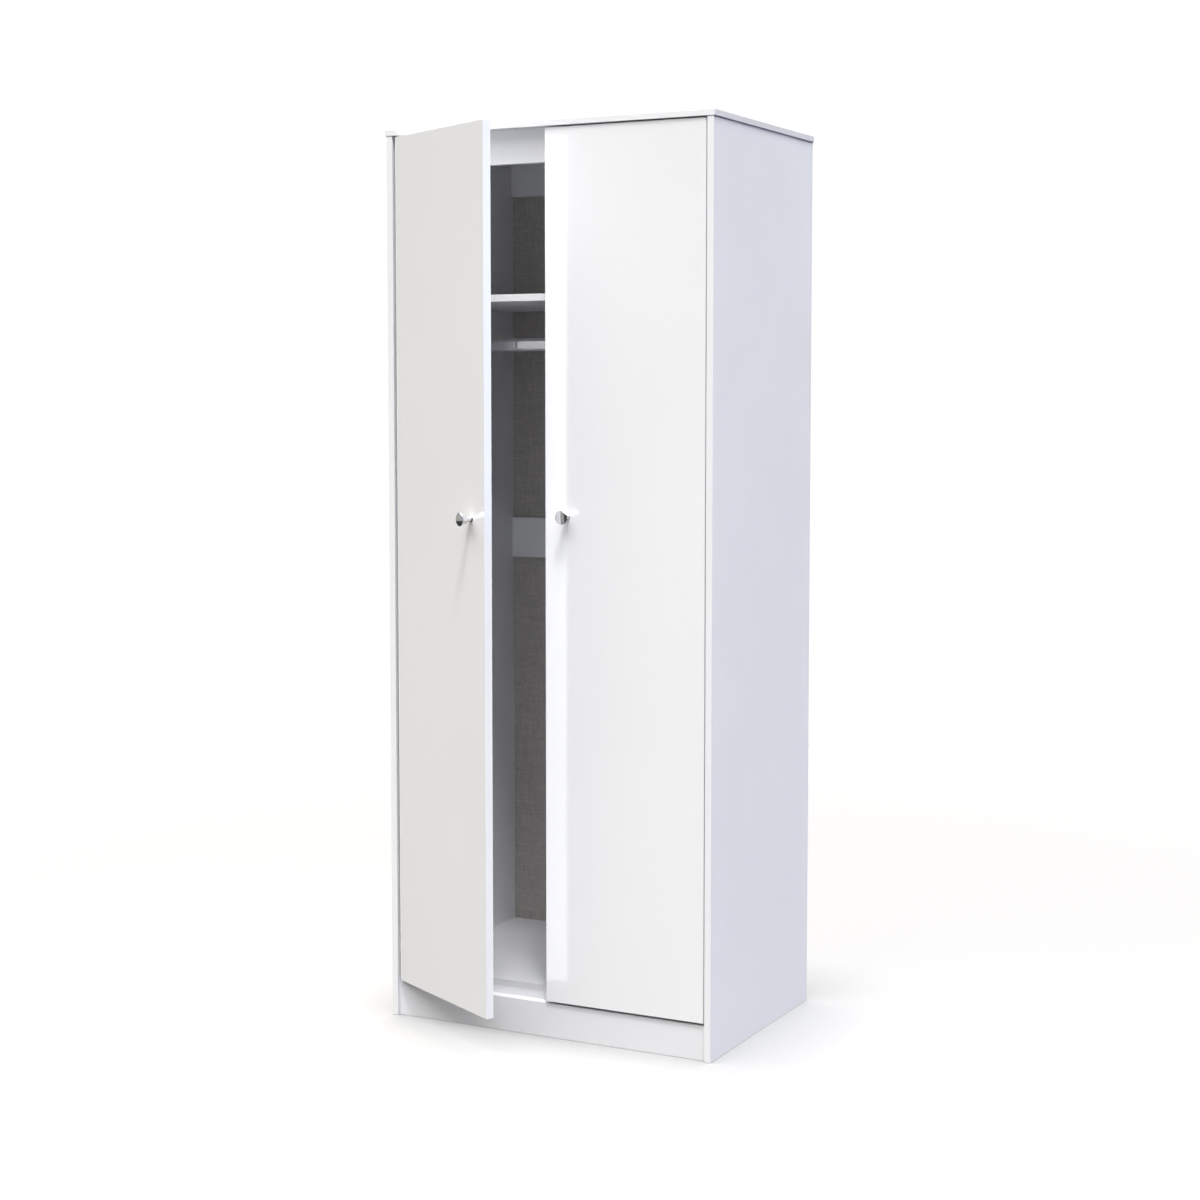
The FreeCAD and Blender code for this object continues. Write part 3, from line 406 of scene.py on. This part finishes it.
def build_floor():
    """A pale floor with painted shade near the wardrobe, solid round it and fading out into the white
    beyond.
    """
    bpy.ops.mesh.primitive_circle_add(
        vertices=FLOOR_SIDES, radius=FLOOR_RADIUS, fill_type="NGON", location=FLOOR_MIDDLE
    )
    floor = bpy.context.object
    floor.name = "studio_floor"
    look = Look("studio_floor_painted_shade")
    # Painted shade: ambient occlusion greys the floor's colour near the wardrobe, down to the shade grey
    # where they meet.
    painted_shade = look.add("ShaderNodeAmbientOcclusion", samples=8)
    painted_shade.inputs["Distance"].default_value = FLOOR_PAINTED_SHADE_REACH
    painted_shade_grey = look.span(painted_shade.outputs["AO"], 0.0, 1.0, FLOOR_PAINTED_SHADE_GREY, FLOOR_GREY)
    look.set(Base_Color=painted_shade_grey, Roughness=0.9)
    length = look.add("ShaderNodeVectorMath", operation="LENGTH")
    look.plug(length.inputs[0], look.place)
    fade = look.span(length.outputs["Value"], FLOOR_FADE_FROM, FLOOR_FADE_TO)
    clear = look.add("ShaderNodeBsdfTransparent")
    mixer = look.add("ShaderNodeMixShader")
    look.plug(mixer.inputs["Fac"], fade)
    look.plug(mixer.inputs[1], look.shader.outputs[0])
    look.plug(mixer.inputs[2], clear.outputs[0])
    look.plug(look.tree.nodes["Material Output"].inputs["Surface"], mixer.outputs[0])
    floor.data.materials.append(look.material)
    floor.visible_glossy = False
    floor.visible_diffuse = False
    floor.visible_shadow = False
    return floor


def gathered(name, items):
    """A collection of some objects, which the light linking needs."""
    group = bpy.data.collections.new(name)
    for item in items:
        group.objects.link(item)
    return group


def towards(azimuth, elevation):
    """A direction. Azimuth 0 is straight in front, and positive is to the right."""
    around = math.radians(azimuth)
    up = math.radians(elevation)
    return Vector((math.sin(around) * math.cos(up), -math.cos(around) * math.cos(up), math.sin(up)))


def add_sun(name, azimuth, elevation, strength, spread, colour, receivers, blockers=None):
    """A soft far light on some objects, shaded by all the others unless blockers are named."""
    data = bpy.data.lights.new(name, "SUN")
    data.energy = strength
    data.angle = math.radians(spread)
    data.color = colour
    lamp = bpy.data.objects.new(name, data)
    lamp.rotation_euler = towards(azimuth, elevation).to_track_quat("Z", "Y").to_euler()
    lamp.light_linking.receiver_collection = gathered(name + "_lit", receivers)
    if blockers:
        lamp.light_linking.blocker_collection = gathered(name + "_shades", blockers)
    scene.collection.objects.link(lamp)


def add_card(name, azimuth, elevation, width, height, brightness, colour, receivers):
    """A glowing card round the knobs that the camera doesn't see."""
    data = bpy.data.lights.new(name, "AREA")
    data.shape = "RECTANGLE"
    data.size = width
    data.size_y = height
    data.energy = brightness * math.pi * width * height
    data.color = colour
    lamp = bpy.data.objects.new(name, data)
    away = towards(azimuth, elevation)
    low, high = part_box("right_knob")
    lamp.location = (low + high) / 2 + CARD_DISTANCE * away
    lamp.rotation_euler = away.to_track_quat("Z", "Y").to_euler()
    lamp.visible_camera = False
    lamp.light_linking.receiver_collection = gathered(name + "_lit", receivers)
    scene.collection.objects.link(lamp)


def build_world():
    """A white backdrop, a dim room in the reflections, and soft light that differs by direction."""
    world = bpy.data.worlds.new("studio")
    scene.world = world
    world.use_nodes = True
    tree = world.node_tree
    tree.nodes.clear()

    def add(kind, **settings):
        node = tree.nodes.new(kind)
        for key, value in settings.items():
            setattr(node, key, value)
        return node

    def background(colour, strength):
        node = add("ShaderNodeBackground")
        node.inputs["Color"].default_value = (*colour, 1.0)
        if isinstance(strength, bpy.types.NodeSocket):
            tree.links.new(strength, node.inputs["Strength"])
        else:
            node.inputs["Strength"].default_value = strength
        return node.outputs[0]

    def switch(test, no, yes):
        node = add("ShaderNodeMixShader")
        tree.links.new(path.outputs[test], node.inputs["Fac"])
        tree.links.new(no, node.inputs[1])
        tree.links.new(yes, node.inputs[2])
        return node.outputs[0]

    path = add("ShaderNodeLightPath")
    direction = add("ShaderNodeTexCoord").outputs["Generated"]
    soft = None
    for heading, strength, colour in SKY_LOBES:
        facing = add("ShaderNodeVectorMath", operation="DOT_PRODUCT")
        tree.links.new(direction, facing.inputs[0])
        facing.inputs[1].default_value = Vector(heading).normalized()
        share = add("ShaderNodeMath", operation="MULTIPLY")
        clipped = add("ShaderNodeMath", operation="MAXIMUM")
        tree.links.new(facing.outputs["Value"], clipped.inputs[0])
        clipped.inputs[1].default_value = 0.0
        tree.links.new(clipped.outputs[0], share.inputs[0])
        share.inputs[1].default_value = strength
        lobe = background(colour, share.outputs[0])
        if soft is not None:
            both = add("ShaderNodeAddShader")
            tree.links.new(soft, both.inputs[0])
            tree.links.new(lobe, both.inputs[1])
            lobe = both.outputs[0]
        soft = lobe
    lit = switch("Is Glossy Ray", soft, background(ROOM_COLOUR, ROOM_STRENGTH))
    seen = switch("Is Camera Ray", lit, background((1.0, 1.0, 1.0), BACKDROP_STRENGTH))
    tree.links.new(seen, add("ShaderNodeOutputWorld").inputs["Surface"])


def build_light(floor):
    """The world, the shared suns, the floor's and the left door's own suns, and the knobs' cards."""
    build_world()
    for share in sorted({1.0, *FLAGGED.values()}):
        lit = [nodes[name] for name in sorted(nodes) if FLAGGED.get(name, 1.0) == share]
        for name, azimuth, elevation, strength, spread, colour in SUNS:
            add_sun(f"{name}_{share}", azimuth, elevation, share * strength, spread, colour, lit)
    add_sun(*FLOOR_SUN, [floor], [floor])
    left_door = nodes["left_door"]
    add_sun(*INNER_FILL, [left_door], [left_door])
    knobs = [nodes["left_knob"], nodes["right_knob"]]
    for card in KNOB_CARDS:
        add_card(*card, knobs)


def build_camera():
    data = bpy.data.cameras.new("view")
    data.lens = CAMERA_LENS
    data.sensor_width = CAMERA_SENSOR
    data.shift_y = CAMERA_SHIFT
    data.clip_start = CAMERA_NEAREST
    camera = bpy.data.objects.new("view", data)
    camera.location = CAMERA_PLACE
    camera.rotation_euler = (math.radians(90 + CAMERA_PITCH), 0, math.radians(CAMERA_YAW))
    scene.collection.objects.link(camera)
    scene.camera = camera


finish_nodes()
build_light(build_floor())
build_camera()
scene.view_settings.view_transform = "Standard"
